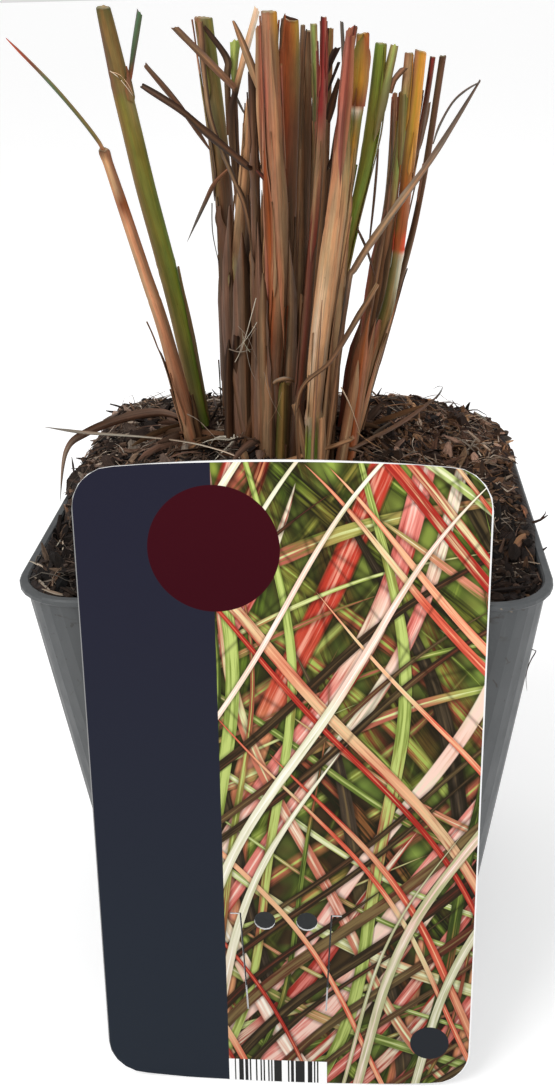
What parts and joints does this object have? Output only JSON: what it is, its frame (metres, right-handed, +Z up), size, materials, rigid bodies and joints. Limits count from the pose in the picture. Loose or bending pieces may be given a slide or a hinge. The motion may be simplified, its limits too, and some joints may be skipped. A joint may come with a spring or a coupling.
{
  "type": "potted miscanthus grass clump",
  "caption": "Cut-back clump of ornamental grass canes and dry leaf strips in bark potting mix, in a square nursery pot with a tall plant label leaning on its rim",
  "frame": {"origin": "middle of the pot's underside, on the floor", "axes": "+Z up along the canes; -Y is the front, where the plant label stands; +X is the right seen from the front"},
  "size_m": [0.1195, 0.1251, 0.2221],
  "materials": {
    "grey_plastic": "satin recycled grey plastic",
    "potting_soil": "damp bark chips and coir",
    "label_print": "printed plastic sheet",
    "green_stem": "smooth green cane",
    "tan_stem": "dry tan cane",
    "rust_stem": "dry rust-brown cane",
    "red_stem": "dark red cane",
    "dry_leaf": "dry leaf and sheath"
  },
  "bodies": {
    "root": {"pot": "grey_plastic", "soil": "potting_soil", "plant_label": "label_print", "cane_green_left": "green_stem", "cane_tan_left": "tan_stem", "cane_olive": "green_stem", "cane_brown_left": "dry_leaf", "cane_grey_left": "dry_leaf", "cane_pink": "tan_stem", "cane_rust": "rust_stem", "cane_plum": "dry_leaf", "cane_umber": "dry_leaf", "cane_lime": "green_stem", "cane_dark_red": "red_stem", "cane_tan_front": "tan_stem", "cane_gold": "tan_stem", "cane_green_right": "green_stem", "cane_maroon": "red_stem", "cane_buff": "tan_stem", "cane_orange": "rust_stem", "cane_wine": "red_stem", "cane_brown_right": "dry_leaf", "shoot_left": "green_stem", "leaf_tip_left": "tan_stem", "leaf_beige": "tan_stem", "leaf_short_green": "green_stem", "leaf_khaki": "dry_leaf", "leaf_grey_thin": "dry_leaf", "leaf_rose": "rust_stem", "leaf_red_thin": "red_stem", "leaf_green_right": "green_stem", "leaf_long_right": "dry_leaf", "strip_front": "dry_leaf", "strip_left_low": "dry_leaf", "strip_left_top": "dry_leaf", "strip_folded": "dry_leaf", "strip_long_left": "tan_stem", "leaf_droop_left": "dry_leaf", "leaf_on_soil": "dry_leaf", "straw_left": "dry_leaf", "straw_right": "dry_leaf"}
  },
  "joints": []
}
